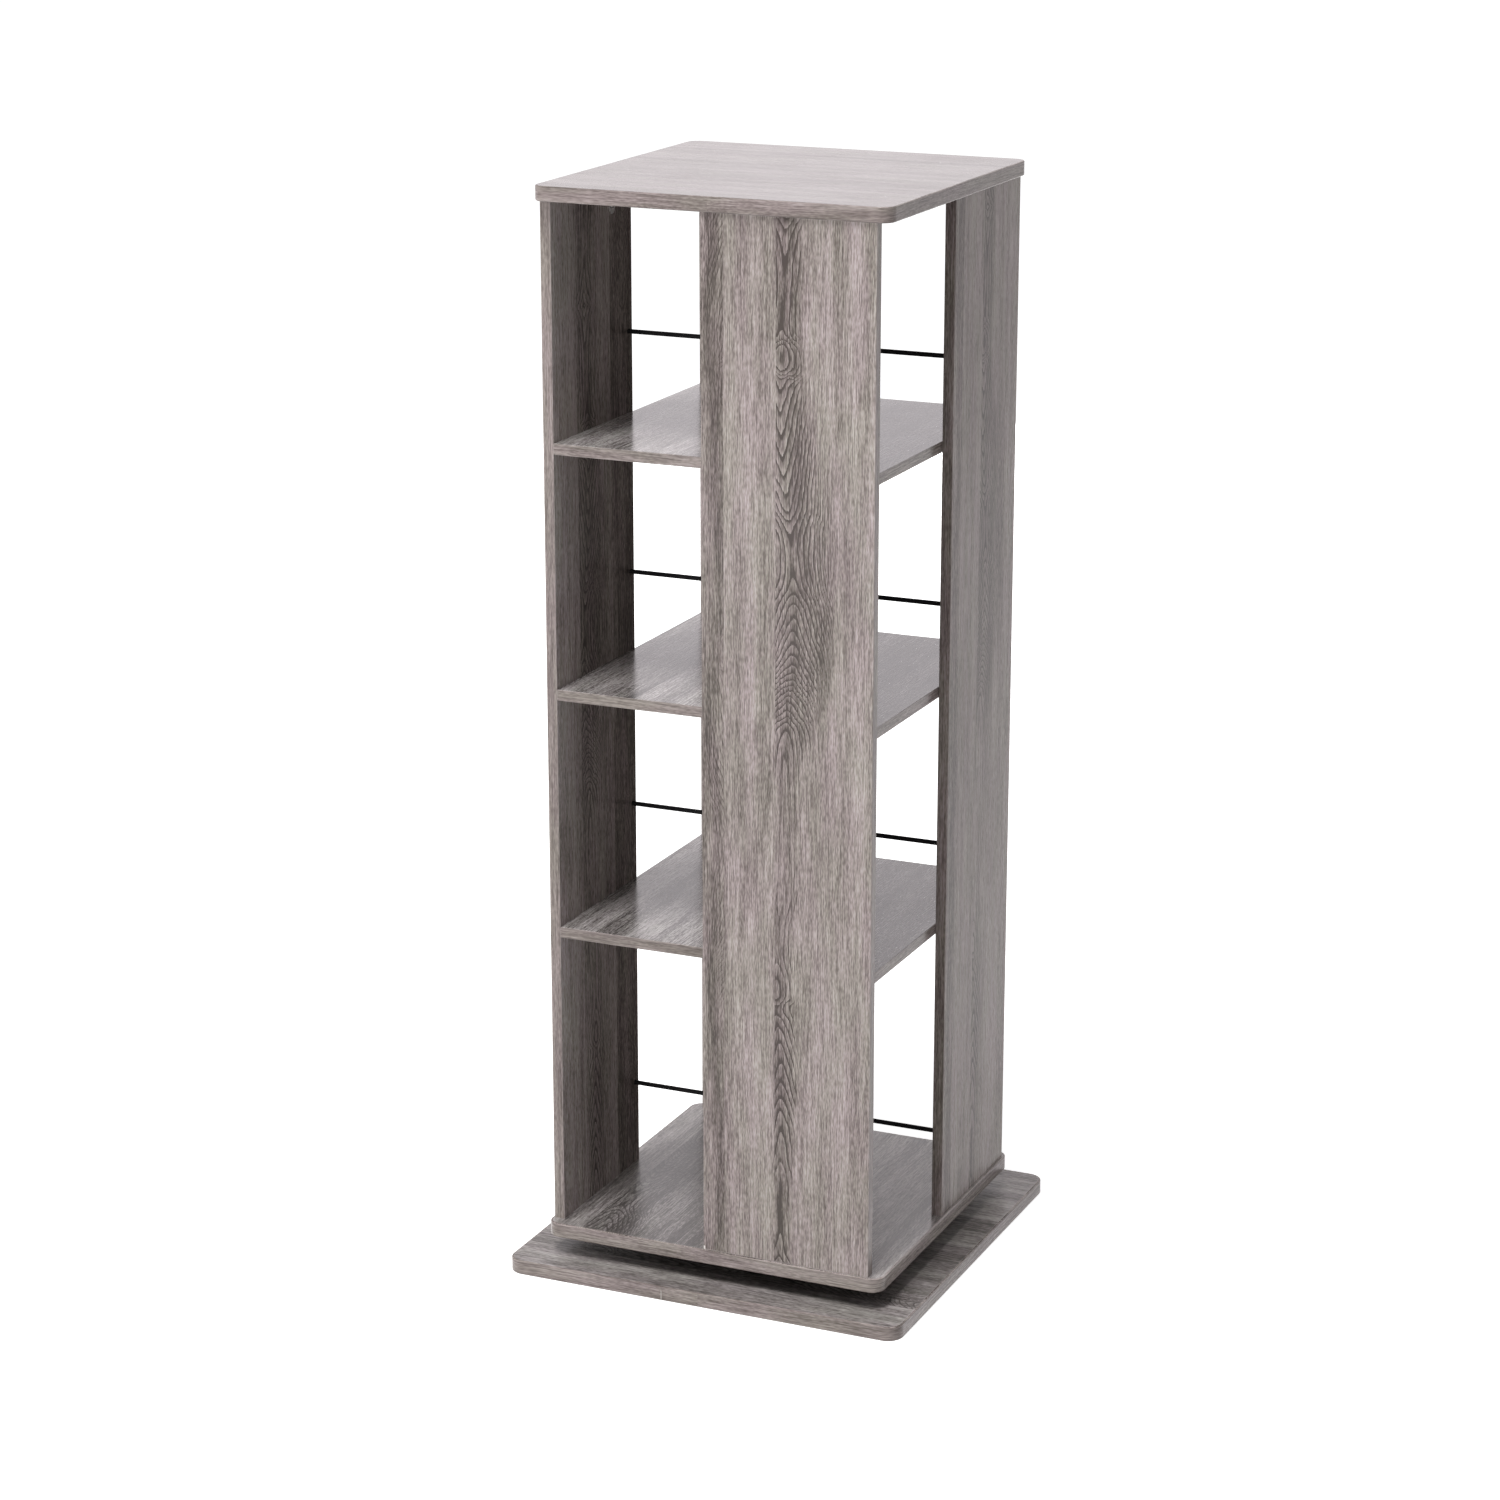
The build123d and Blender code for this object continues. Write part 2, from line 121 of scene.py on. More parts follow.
# %% Surroundings
DOME_LIGHT = 0.30
FULL_WHITE = 1.0
PLAIN_WHITE = (1, 1, 1, 1)
MIRRORED_WHITE = (1.0, 0.945, 0.975, 1)


def seen_directly(tree):
    """1 for camera, mirror and see-through rays, 0 for rays that carry light between surfaces."""
    path = add(tree, "LightPath")
    seen = calc(tree, "MAXIMUM", path.outputs["Is Camera Ray"], path.outputs["Is Glossy Ray"])
    return calc(tree, "MAXIMUM", seen, path.outputs["Is Transmission Ray"])


def shown_white(tree):
    """Plain white to the camera, a touch lilac in the sheen of the boards."""
    mirrored = add(tree, "LightPath").outputs["Is Glossy Ray"]
    return mixed(tree, mirrored, PLAIN_WHITE, MIRRORED_WHITE)


studio = bpy.data.worlds.new("white_studio")
studio.use_nodes = True
scene.world = studio
tree = studio.node_tree
tree.nodes.clear()
dim = add(tree, "Background", {"Color": PLAIN_WHITE, "Strength": DOME_LIGHT})
white = add(tree, "Background", {"Color": shown_white(tree), "Strength": FULL_WHITE})
chosen = add(tree, "MixShader", {0: seen_directly(tree), 1: dim.outputs[0], 2: white.outputs[0]})
add(tree, "OutputWorld", {"Surface": chosen.outputs[0]})
print("dome light", DOME_LIGHT)

# %% Floor sheet
FLOOR_REACH = 30.0

corners = np.array([[-1, -1, 0], [1, -1, 0], [1, 1, 0], [-1, 1, 0]]) * FLOOR_REACH
floor_mesh = bpy.data.meshes.new("floor")
floor_mesh.from_pydata(corners.tolist(), [], [(0, 1, 2, 3)])
floor = bpy.data.objects.new("floor", floor_mesh)
scene.collection.objects.link(floor)
print("floor reaches", FLOOR_REACH, "m")

# %% Floor paper
def grey(level):
    """A colour without hue."""
    return (level, level, level, 1)


def own_point(tree):
    """A point of the piece in metres, in Object coordinates."""
    return add(tree, "TexCoord").outputs["Object"]


def noise(tree, point, scale, detail, rough=0.5):
    """Cloudy noise from 0 to 1, with about scale clouds to the metre."""
    inputs = {"Vector": point, "Scale": scale, "Detail": detail, "Roughness": rough}
    return add(tree, "TexNoise", inputs).outputs["Fac"]


def length(tree, vector):
    """How long a vector is."""
    return add(tree, "VectorMath", {0: vector}, operation="LENGTH").outputs["Value"]


DARKER_PAPER = grey(0.48)
LIGHTER_PAPER = grey(0.52)
SHADED_PAPER = grey(0.80)
GLOW = 0.72
FAR_GLOW = 0.80
GLOW_RISES_FROM = 1.5
GLOW_RISES_TO = 6.0

paper = bpy.data.materials.new("studio_paper")
paper.use_nodes = True
tree = paper.node_tree
tree.nodes.clear()
spot = own_point(tree)
tooth = mixed(tree, noise(tree, spot, scale=3.0, detail=4.0), DARKER_PAPER, LIGHTER_PAPER)
matt = add(tree, "BsdfDiffuse", {"Color": tooth})
shadow = add(tree, "BsdfDiffuse", {"Color": SHADED_PAPER})
glow_here = ease(tree, length(tree, spot), GLOW_RISES_FROM, GLOW_RISES_TO, GLOW, FAR_GLOW)
glow = add(tree, "Emission", {"Color": shown_white(tree), "Strength": glow_here})
bright = add(tree, "AddShader", {0: shadow.outputs[0], 1: glow.outputs[0]})
chosen = add(tree, "MixShader", {0: seen_directly(tree), 1: matt.outputs[0], 2: bright.outputs[0]})
add(tree, "OutputMaterial", {"Surface": chosen.outputs[0]})
floor_mesh.materials.append(paper)
print("floor paper:", paper.name)

# %% [markdown]
# ## Lamps
#
# A bare bulb would draw hard shadows of the shelves on the panels, so the lamps are large soft squares. A
# strong one stands high to the front left and a weaker one just above the top board, so the front faces are
# brightest and the bays stay dark inside. Three more stand behind the tower and to its left and right, so
# that it is worth a walk around. A photographer would hold a black flag in front of the lower front lamp to
# keep the gap above the base dark. Light linking does the same here: the front lamp leaves out the base
# board.

# %% Lamps
LAMP_AIM = Vector((0, 0, 0.6))


def soft_lamp(name, turn_left, height, distance, width, watts):
    """A square of light that looks at the middle of the tower from turn_left degrees left of the front."""
    panel = bpy.data.lights.new(name, "AREA")
    panel.shape = "SQUARE"
    panel.size = width
    panel.energy = watts
    lamp = bpy.data.objects.new(name, panel)
    way = math.radians(turn_left)
    lamp.location = (-math.sin(way) * distance, -math.cos(way) * distance, height)
    lamp.rotation_euler = (LAMP_AIM - lamp.location).to_track_quat("-Z", "Y").to_euler()
    lamp.visible_glossy = False
    lamp.visible_camera = False
    scene.collection.objects.link(lamp)
    return lamp


soft_lamp("top_lamp", turn_left=12, height=6.2, distance=2.2, width=2.0, watts=312)
front_lamp = soft_lamp("front_lamp", turn_left=9, height=1.4, distance=4.6, width=2.0, watts=113)
soft_lamp("back_lamp", turn_left=168, height=0.8, distance=4.6, width=1.4, watts=75)
soft_lamp("left_lamp", turn_left=90, height=0.8, distance=4.6, width=1.4, watts=55)
soft_lamp("right_lamp", turn_left=-118, height=0.8, distance=4.6, width=1.4, watts=22)

# %% Flag in front of a lamp
flagged = bpy.data.collections.new("flagged_from_front_lamp")
flagged.objects.link(nodes["base_board"])
flagged.collection_objects[0].light_linking.link_state = "EXCLUDE"
front_lamp.light_linking.receiver_collection = flagged

# %% [markdown]
# ## Which way the grain runs
#
# Foil-covered boards have a print on both faces and a strip of the same print round the edges. On a face
# the grain follows the board, and on an edge it follows the edge. Every board could be unwrapped by hand,
# but one node group works it out for all of them. It turns a point of a board, given in the board's own
# axes, into a distance across the grain and a distance along it. The face's normal tells the faces and the
# two kinds of edges apart.

# %% Helpers for node groups
def new_group(name, inputs, outputs):
    """An empty shader node group; inputs and outputs map socket names to kinds of socket."""
    group = bpy.data.node_groups.new(name, "ShaderNodeTree")
    for label, kind in inputs.items():
        group.interface.new_socket(label, in_out="INPUT", socket_type="NodeSocket" + kind)
    for label, kind in outputs.items():
        group.interface.new_socket(label, in_out="OUTPUT", socket_type="NodeSocket" + kind)
    given = group.nodes.new("NodeGroupInput").outputs
    result = group.nodes.new("NodeGroupOutput").inputs
    return group, given, result


def use(tree, group, inputs):
    """The outputs of the group, run on these inputs."""
    made = tree.nodes.new("ShaderNodeGroup")
    made.node_tree = group
    for name, value in inputs.items():
        feed(tree, made.inputs[name], value)
    return made.outputs


def vector_calc(tree, operation, *values):
    """One step of arithmetic on points or directions."""
    return add(tree, "VectorMath", dict(enumerate(values)), operation=operation).outputs["Vector"]


def axes_of(tree, vector):
    """The X, Y and Z of a vector."""
    return add(tree, "SeparateXYZ", {0: vector}).outputs


def flipped(tree, share):
    """1 where share is 0, and 0 where it is 1."""
    return calc(tree, "SUBTRACT", 1.0, share)


print("helpers:", new_group.__name__, "and", use.__name__)

# %% Node group: lay of the grain
EDGE_LEAN = 0.7
INNER_FACE_STEP = 0.205
LONG_EDGE_STEP = 0.345
END_EDGE_STEP = 0.362
ROUND_BAND_REACH = 0.24

grain_lay, given, result = new_group(
    "Lay of the grain",
    {"Point": "Vector", "Facing": "Vector", "Round": "Float", "Middle": "Vector"},
    {"Across": "Float", "Along": "Float", "Edge": "Float"},
)
tree = grain_lay
point = axes_of(tree, given["Point"])
facing = axes_of(tree, given["Facing"])
on_long_edge = calc(tree, "GREATER_THAN", calc(tree, "ABSOLUTE", facing["X"]), EDGE_LEAN)
on_end_edge = calc(tree, "GREATER_THAN", calc(tree, "ABSOLUTE", facing["Y"]), EDGE_LEAN)
on_edge = calc(tree, "MAXIMUM", on_long_edge, on_end_edge)
feed(tree, result["Edge"], on_edge)

# Across the grain: each face and each kind of edge shows its own part of the printed sheet.
inner = calc(tree, "MULTIPLY", calc(tree, "LESS_THAN", facing["Z"], 0.0), INNER_FACE_STEP)
face_across = calc(tree, "MULTIPLY", calc(tree, "ADD", point["X"], inner), flipped(tree, on_edge))
own_strip = calc(tree, "MULTIPLY", on_end_edge, flipped(tree, given["Round"]))
own_step = calc(tree, "MULTIPLY", own_strip, END_EDGE_STEP - LONG_EDGE_STEP)
edge_across = calc(tree, "ADD", calc(tree, "ADD", point["Z"], LONG_EDGE_STEP), own_step)
feed(tree, result["Across"], calc(tree, "MULTIPLY_ADD", edge_across, on_edge, face_across))

# Along the grain: a band that runs round a board is measured by its bearing from the board's middle.
out = axes_of(tree, vector_calc(tree, "SUBTRACT", given["Point"], given["Middle"]))
bearing = calc(tree, "ARCTAN2", out["Y"], out["X"])
round_along = calc(tree, "MULTIPLY", bearing, ROUND_BAND_REACH)
end_along = calc(tree, "SUBTRACT", point["X"], point["Y"])
plain_along = calc(tree, "MULTIPLY_ADD", end_along, on_end_edge, point["Y"])
on_round_band = calc(tree, "MULTIPLY", on_edge, given["Round"])
change = calc(tree, "SUBTRACT", round_along, plain_along)
feed(tree, result["Along"], calc(tree, "MULTIPLY_ADD", change, on_round_band, plain_along))
print("node group:", grain_lay.name)

# %% [markdown]
# ## Fibres and pores
#
# Seen close, the print is made of short dark pores, pale streaks and slow changes of tone, all drawn out
# along the grain. A noise texture does this when its coordinates are squeezed across the grain and
# stretched along it. A few such noises at different sizes are cheaper than drawing strokes, and they never
# repeat.

# %% Node group: oak fibres
def drawn_noise(tree, across, along, seed, wide, long, detail=2.0, rough=0.5):
    """Noise whose grains are wide metres across and long metres along the grain."""
    spot = add(tree, "CombineXYZ", {
        "X": calc(tree, "DIVIDE", across, wide),
        "Y": calc(tree, "DIVIDE", along, long),
        "Z": seed,
    })
    return noise(tree, spot.outputs[0], scale=1.0, detail=detail, rough=rough)


# Noise keeps to its middle, so each kind is spread from a range there to the whole of 0 to 1.
PORE_RANGE = (0.35, 0.65)
STREAK_RANGE = (0.30, 0.70)
DRIFT_RANGE = (0.30, 0.70)
TINT_RANGE = (0.32, 0.68)
FLECK_SHARE = 0.44

fibres, given, result = new_group(
    "Oak fibres",
    {"Across": "Float", "Along": "Float", "Seed": "Float"},
    {"Pores": "Float", "Streaks": "Float", "Drift": "Float", "Tint": "Float"},
)
tree = fibres
where = (given["Across"], given["Along"], given["Seed"])
flecks = drawn_noise(tree, *where, wide=0.0011, long=0.007, detail=1.0)
pores = drawn_noise(tree, *where, wide=0.0011, long=0.030, detail=1.5, rough=0.6)
both = calc(tree, "MULTIPLY_ADD", calc(tree, "SUBTRACT", flecks, pores), FLECK_SHARE, pores)
feed(tree, result["Pores"], ease(tree, both, *PORE_RANGE))
streaks = drawn_noise(tree, *where, wide=0.0024, long=0.080, detail=2.0, rough=0.6)
feed(tree, result["Streaks"], ease(tree, streaks, *STREAK_RANGE))
drift = drawn_noise(tree, *where, wide=0.016, long=0.34, detail=1.0)
feed(tree, result["Drift"], ease(tree, drift, *DRIFT_RANGE))
tint = drawn_noise(tree, *where, wide=0.020, long=0.12, detail=2.0)
feed(tree, result["Tint"], ease(tree, tint, *TINT_RANGE))
print("node group:", fibres.name)

# %% [markdown]
# ## The cathedral figure
#
# A plank cut flat from a log shows nested arches, because the saw slices the growth rings at a low angle.
# On this print the arches stand point up in one stretch, point down in another, and close into thin eyes
# between them. A wave texture could only draw even arches. Rings numbered by a sum do better: the distance
# from the heart line counts rings sideways, and a curve counts them up the board. Where the curve rises the
# arches point up, where it falls they point down, and where it turns they close. A second curve lets the
# heart line wander, a third says how dark the rings print and a fourth how far out they reach. Each ring
# also gets a strength of its own, because no two years grow alike.

# %% Curves of the figure
PRINT_LENGTH = 1.118
MOST_RINGS = 30.0
MOST_WANDER = 0.020
MOST_REACH = 0.040

# Each point is a place in metres up the board and the amount there.
RINGS_UP_THE_BOARD = (
    (0.000, 1.0), (0.034, 2.55), (0.065, 2.65), (0.095, 2.80), (0.115, 3.6), (0.147, 4.4), (0.196, 7.0),
    (0.275, 11.0), (0.288, 11.8), (0.303, 10.3), (0.350, 11.8), (0.420, 11.2), (0.520, 11.3), (0.575, 11.8),
    (0.609, 15.0), (0.666, 23.0), (0.718, 27.0), (0.778, 29.85), (0.829, 27.0), (0.889, 24.0), (0.953, 21.0),
    (0.977, 17.6), (1.004, 20.5), (1.030, 20.75), (1.070, 20.7), (1.118, 18.4),
)
HEART_LINE = (
    (0.000, -0.006), (0.200, -0.005), (0.340, -0.010), (0.448, -0.002), (0.575, -0.001), (0.640, 0.004),
    (0.700, 0.008), (0.775, 0.006), (0.829, 0.000), (0.889, -0.006), (0.977, -0.007), (1.045, -0.003),
    (1.118, -0.002),
)
FIGURE_STRENGTH = (
    (0.000, 0.8), (0.108, 0.7), (0.200, 1.0), (0.290, 0.8), (0.360, 0.5), (0.500, 0.35),
    (0.570, 0.6), (0.640, 1.0), (0.778, 0.9), (0.874, 1.0), (0.978, 1.0), (1.118, 0.9),
)
FIGURE_REACH = (
    (0.000, 0.010), (0.120, 0.011), (0.250, 0.014), (0.480, 0.014), (0.620, 0.024), (0.750, 0.034),
    (0.830, 0.032), (0.900, 0.026), (0.960, 0.015), (1.118, 0.013),
)
print("the figure runs", PRINT_LENGTH, "m up the board with up to", MOST_RINGS, "rings")

# %% A curve as a node
def curve_node(tree, value, points, low, high):
    """A smooth curve through points of (metres up the board, amount), read at value."""
    made = add(tree, "FloatCurve", {"Value": calc(tree, "DIVIDE", value, PRINT_LENGTH)})
    curve = made.mapping.curves[0]
    spots = [(x / PRINT_LENGTH, (y - low) / (high - low)) for x, y in points]
    for spot, place in zip(curve.points, (spots[0], spots[-1])):
        spot.location = place
    for place in spots[1:-1]:
        curve.points.new(*place)
    made.mapping.update()
    return calc(tree, "MULTIPLY_ADD", made.outputs[0], high - low, low)


def swayed(tree, value, push, swing):
    """The value, moved by up to half the swing each way as push goes from 0 to 1."""
    return calc(tree, "MULTIPLY_ADD", calc(tree, "SUBTRACT", push, 0.5), swing, value)


print("helpers:", curve_node.__name__, "and", swayed.__name__)

# %% Node group: cathedral figure
RING_LIFT = 0.012
RING_FRAY = 0.0016
RING_LEAN = 0.008
LEAN_SEED_STEP = 7.0

figure, given, result = new_group(
    "Cathedral figure",
    {"From Heart": "Float", "Along": "Float", "Seed": "Float", "Fray": "Float"},
    {"Dark": "Float", "Pale": "Float", "Shade": "Float"},
)
tree = figure
height = calc(tree, "PINGPONG", given["Along"], PRINT_LENGTH)
heart = curve_node(tree, height, HEART_LINE, -MOST_WANDER, MOST_WANDER)
strength = curve_node(tree, height, FIGURE_STRENGTH, 0.0, 1.0)
figure_reach = curve_node(tree, height, FIGURE_REACH, 0.0, MOST_REACH)
side = calc(tree, "SUBTRACT", given["From Heart"], heart)
lean_seed = calc(tree, "ADD", given["Seed"], LEAN_SEED_STEP)
lift = drawn_noise(tree, side, given["Along"], given["Seed"], wide=0.014, long=0.045)
lean = drawn_noise(tree, side, given["Along"], lean_seed, wide=0.016, long=0.050)
height = swayed(tree, height, lift, RING_LIFT)
height = swayed(tree, height, given["Fray"], RING_FRAY)
side = swayed(tree, side, lean, RING_LEAN)
print("node group:", figure.name)

# %% Rings of the figure
RING_PITCH = 0.0063
RING_CROWDING = 0.060
HEART_ROUNDING = 0.0030

# Each of these is a smooth step: where it starts and ends, and its amounts there.
YEAR_STRENGTH = (0.0, 1.0, 0.55, 1.0)
WORN_PRINT = (0.30, 0.55, 0.7, 1.0)
FIGURE_FADE = (0.8, 1.6, 1.0, 0.12)
SHADE_FADE = (0.8, 2.6, 1.0, 0.0)
LATE_WOOD = (0.14, 0.37, 0.85, 0.0)
LATE_WOOD_TAIL = (0.25, 0.85, 0.2, 0.0)
EARLY_WOOD = (0.72, 0.96, 0.0, 1.0)

reach = calc(tree, "SQRT", calc(tree, "MULTIPLY_ADD", side, side, HEART_ROUNDING**2))
crowd = calc(tree, "POWER", calc(tree, "DIVIDE", reach, RING_CROWDING), 2.0)
even_rings = calc(tree, "DIVIDE", reach, RING_PITCH)
rings_out = calc(tree, "MULTIPLY", even_rings, calc(tree, "ADD", crowd, 1.0))
rings_up = curve_node(tree, height, RINGS_UP_THE_BOARD, 0.0, MOST_RINGS)
rings = calc(tree, "ADD", rings_out, rings_up)
within = calc(tree, "FRACT", rings)
year = add(tree, "TexWhiteNoise", {"W": calc(tree, "FLOOR", rings)}, noise_dimensions="1D")
year_strength = ease(tree, year.outputs["Value"], *YEAR_STRENGTH)
bold = calc(tree, "MULTIPLY", year_strength, ease(tree, lift, *WORN_PRINT))
spread = calc(tree, "DIVIDE", calc(tree, "ABSOLUTE", side), figure_reach)
fade = calc(tree, "MULTIPLY", strength, ease(tree, spread, *FIGURE_FADE))
line = calc(tree, "ADD", ease(tree, within, *LATE_WOOD), ease(tree, within, *LATE_WOOD_TAIL))
feed(tree, result["Dark"], calc(tree, "MULTIPLY", calc(tree, "MULTIPLY", line, bold), fade))
feed(tree, result["Pale"], calc(tree, "MULTIPLY", ease(tree, within, *EARLY_WOOD), fade))
feed(tree, result["Shade"], calc(tree, "MULTIPLY", strength, ease(tree, spread, *SHADE_FADE)))
print("nodes in", figure.name, "are", len(figure.nodes))

# %% [markdown]
# ## The oak print
#
# The print is laid up from planks of different widths and tones with sharp seams between them, and some of
# the planks have the cathedral figure. A picture of wood could be wrapped round the boards, but a print
# made of nodes stays sharp at any distance and can be laid differently on each board. A constant colour
# ramp across the board is a handy table of planks: each stop is a seam, red is the tone, green the strength
# of the figure, blue the place of the heart line and alpha a slide of the pattern along the board. A dark
# vein wanders through the first plank. The tone then picks a colour from a grey-brown ramp.

# %% Planks and tones
PRINT_WIDTH = 0.40

# Each plank: its seam, tone, strength of figure, heart line and slide.
PLANKS = (
    (0.000, 0.43, 0.40, 0.046, 0.31),
    (0.025, 0.50, 0.00, 0.060, 0.00),
    (0.0825, 0.54, 1.00, 0.095, 0.00),
    (0.191, 0.29, 0.20, 0.222, 0.55),
    (0.259, 0.50, 0.75, 0.322, 0.15),
    (0.339, 0.56, 0.00, 0.370, 0.00),
)
OAK_TONES = (
    (0.00, (0.045, 0.036, 0.032, 1)),
    (0.30, (0.155, 0.130, 0.121, 1)),
    (0.55, (0.285, 0.247, 0.236, 1)),
    (0.80, (0.410, 0.367, 0.355, 1)),
    (1.00, (0.540, 0.498, 0.488, 1)),
)


def ramp_node(tree, value, stops, interpolation):
    """A colour ramp through stops of (place, colour)."""
    made = add(tree, "ValToRGB", {"Fac": value})
    made.color_ramp.interpolation = interpolation
    spots = made.color_ramp.elements
    while len(spots) < len(stops):
        spots.new(0.5)
    for spot, (place, colour) in zip(spots, stops):
        spot.position = place
        spot.color = colour
    return made.outputs


print("planks on a sheet", PRINT_WIDTH, "m wide:", len(PLANKS))

# %% Node group: grey oak print
BOARD_SWAY = 0.008

oak_print, given, result = new_group(
    "Grey oak print",
    {
        "Across": "Float", "Along": "Float", "Seed": "Float", "Edge": "Float",
        "Even": "Float", "Extra Depth": "Float", "Darker": "Float",
    },
    {"Color": "Color", "Relief": "Float"},
)
tree = oak_print
seed = given["Seed"]
across = calc(tree, "WRAP", given["Across"], PRINT_WIDTH, 0.0)
plank_stops = []
for seam, tone, figured, heart, slide in PLANKS:
    plank_stops.append((seam / PRINT_WIDTH, (tone, figured, heart / PRINT_WIDTH, slide)))
plank = ramp_node(tree, calc(tree, "DIVIDE", across, PRINT_WIDTH), plank_stops, "CONSTANT")
plank_tone, plank_figure, heart = add(tree, "SeparateColor", {0: plank["Color"]}).outputs
from_heart = calc(tree, "SUBTRACT", across, calc(tree, "MULTIPLY", heart, PRINT_WIDTH))
slide = calc(tree, "ADD", given["Along"], plank["Alpha"])

sway = drawn_noise(tree, given["Across"], given["Along"], seed, wide=0.03, long=0.35, detail=1.0)
bent = swayed(tree, given["Across"], sway, BOARD_SWAY)
strand = use(tree, fibres, {"Across": bent, "Along": slide, "Seed": seed})
rings = use(tree, figure, {
    "From Heart": from_heart, "Along": slide, "Seed": seed, "Fray": strand["Pores"],
})
print("node group:", oak_print.name, "with sockets", [socket.name for socket in given if socket.name])

# %% Vein of the first plank
VEIN_PLACE = 0.015
VEIN_WANDER = 0.036
VEIN_FADE = (0.002, 0.009, 1.0, 0.0)

drift_of_vein = drawn_noise(tree, 0.0, slide, seed, wide=1.0, long=0.24, detail=1.0)
vein_place = swayed(tree, VEIN_PLACE, drift_of_vein, VEIN_WANDER)
from_vein = calc(tree, "ABSOLUTE", calc(tree, "SUBTRACT", across, vein_place))
vein = ease(tree, from_vein, *VEIN_FADE)
print("vein wanders round", VEIN_PLACE, "m from the seam")

# %% Tone and colour of the print
PORE_DEPTH = 0.44
STREAK_DEPTH = 0.21
DRIFT_DEPTH = 0.19
RING_DEPTH = 0.76
RING_GLEAM = 0.10
HEART_SHADE = 0.20
VEIN_DEPTH = 0.12
EDGE_SHADE = 0.14
EDGE_CALM = 0.35
LILAC = (1.025, 0.98, 1.005, 1)
OLIVE = (0.985, 1.005, 0.95, 1)

mean_tone = sum(row[1] for row in PLANKS) / len(PLANKS)
to_mean = calc(tree, "SUBTRACT", mean_tone, plank_tone)
plank_tone = calc(tree, "MULTIPLY_ADD", to_mean, given["Even"], plank_tone)
show = calc(tree, "MULTIPLY", plank_figure, flipped(tree, given["Even"]))
on_face = flipped(tree, given["Edge"])
deep = calc(tree, "MULTIPLY_ADD", on_face, given["Extra Depth"], 1.0)
lively = calc(tree, "MULTIPLY_ADD", given["Edge"], -EDGE_CALM, deep)

tone = calc(tree, "MULTIPLY_ADD", given["Edge"], -EDGE_SHADE, plank_tone)
tone = calc(tree, "SUBTRACT", tone, calc(tree, "MULTIPLY", on_face, given["Darker"]))
tone = calc(tree, "MULTIPLY_ADD", vein, -VEIN_DEPTH, tone)
tone = swayed(tree, tone, strand["Pores"], calc(tree, "MULTIPLY", lively, PORE_DEPTH))
tone = swayed(tree, tone, strand["Streaks"], calc(tree, "MULTIPLY", deep, STREAK_DEPTH))
tone = swayed(tree, tone, strand["Drift"], calc(tree, "MULTIPLY", lively, DRIFT_DEPTH))
for mask, amount in (("Dark", -RING_DEPTH), ("Pale", RING_GLEAM), ("Shade", -HEART_SHADE)):
    tone = calc(tree, "MULTIPLY_ADD", calc(tree, "MULTIPLY", rings[mask], show), amount, tone)
feed(tree, result["Relief"], tone)

grey_brown = ramp_node(tree, tone, OAK_TONES, "B_SPLINE")["Color"]
cast = mixed(tree, strand["Tint"], LILAC, OLIVE)
feed(tree, result["Color"], mixed(tree, 1.0, grey_brown, cast, blend="MULTIPLY"))
print("mean tone of the planks", round(mean_tone, 3))

# %% [markdown]
# ## Touch marks, arris highlights and pale marks
#
# A foil is not evenly glossy: handling leaves faint patches. The foil thins where it turns over an arris, so
# the arrises are a shade paler, and that paler line is also a painted highlight along the arris. In a few
# places a pale spot shows: the pale core at the butt seam of an edge band, and a painted glint on the lower
# left corner of the front panel. All three could be painted on by hand. They are groups instead, because the
# boards use them with their own sizes.

# %% Node group: touch marks
TOUCH_RANGE = (0.35, 0.70)

touch_marks, given, result = new_group(
    "Touch marks", {"Point": "Vector", "Seed": "Float"}, {"Patch": "Float"}
)
tree = touch_marks
moved = vector_calc(tree, "ADD", given["Point"], given["Seed"])
patch = noise(tree, moved, scale=9.0, detail=5.0, rough=0.62)
feed(tree, result["Patch"], ease(tree, patch, *TOUCH_RANGE))
print("node group:", touch_marks.name)

# %% Node group: arris
RUB_AND_HIGHLIGHT_WIDTH = (0.3, 0.7, 0.0006, 0.0016)

arris, given, result = new_group(
    "Arris", {"Point": "Vector", "Half Size": "Vector"}, {"Worn And Highlit": "Float"}
)
tree = arris
folded = vector_calc(tree, "ABSOLUTE", given["Point"])
inset = axes_of(tree, vector_calc(tree, "SUBTRACT", given["Half Size"], folded))

# An arris is near where two of the three insets are small, so the middle one of them tells how near.
low = calc(tree, "MINIMUM", inset["X"], inset["Y"])
high = calc(tree, "MAXIMUM", inset["X"], inset["Y"])
second = calc(tree, "MAXIMUM", low, calc(tree, "MINIMUM", high, inset["Z"]))
width = ease(tree, noise(tree, given["Point"], scale=60.0, detail=3.0), *RUB_AND_HIGHLIGHT_WIDTH)
inside = calc(tree, "DIVIDE", second, width)
# This output is the rubbed foil along the arris, with a painted highlight on it.
feed(tree, result["Worn And Highlit"], calc(tree, "SUBTRACT", 1.0, inside, clamp=True))
print("node group:", arris.name)

# %% Node group: pale mark
MARK_RAGGEDNESS = 0.9
MARK_RIM = (0.75, 1.0, 1.0, 0.0)

pale_mark, given, result = new_group(
    "Pale mark", {"Point": "Vector", "Centre": "Vector", "Size": "Vector"}, {"Mask": "Float"}
)
tree = pale_mark
offset = vector_calc(tree, "SUBTRACT", given["Point"], given["Centre"])
away = length(tree, vector_calc(tree, "DIVIDE", offset, given["Size"]))
ragged = noise(tree, given["Point"], scale=700.0, detail=2.0)
away = swayed(tree, away, ragged, MARK_RAGGEDNESS)
feed(tree, result["Mask"], ease(tree, away, *MARK_RIM))
print("node group:", pale_mark.name)

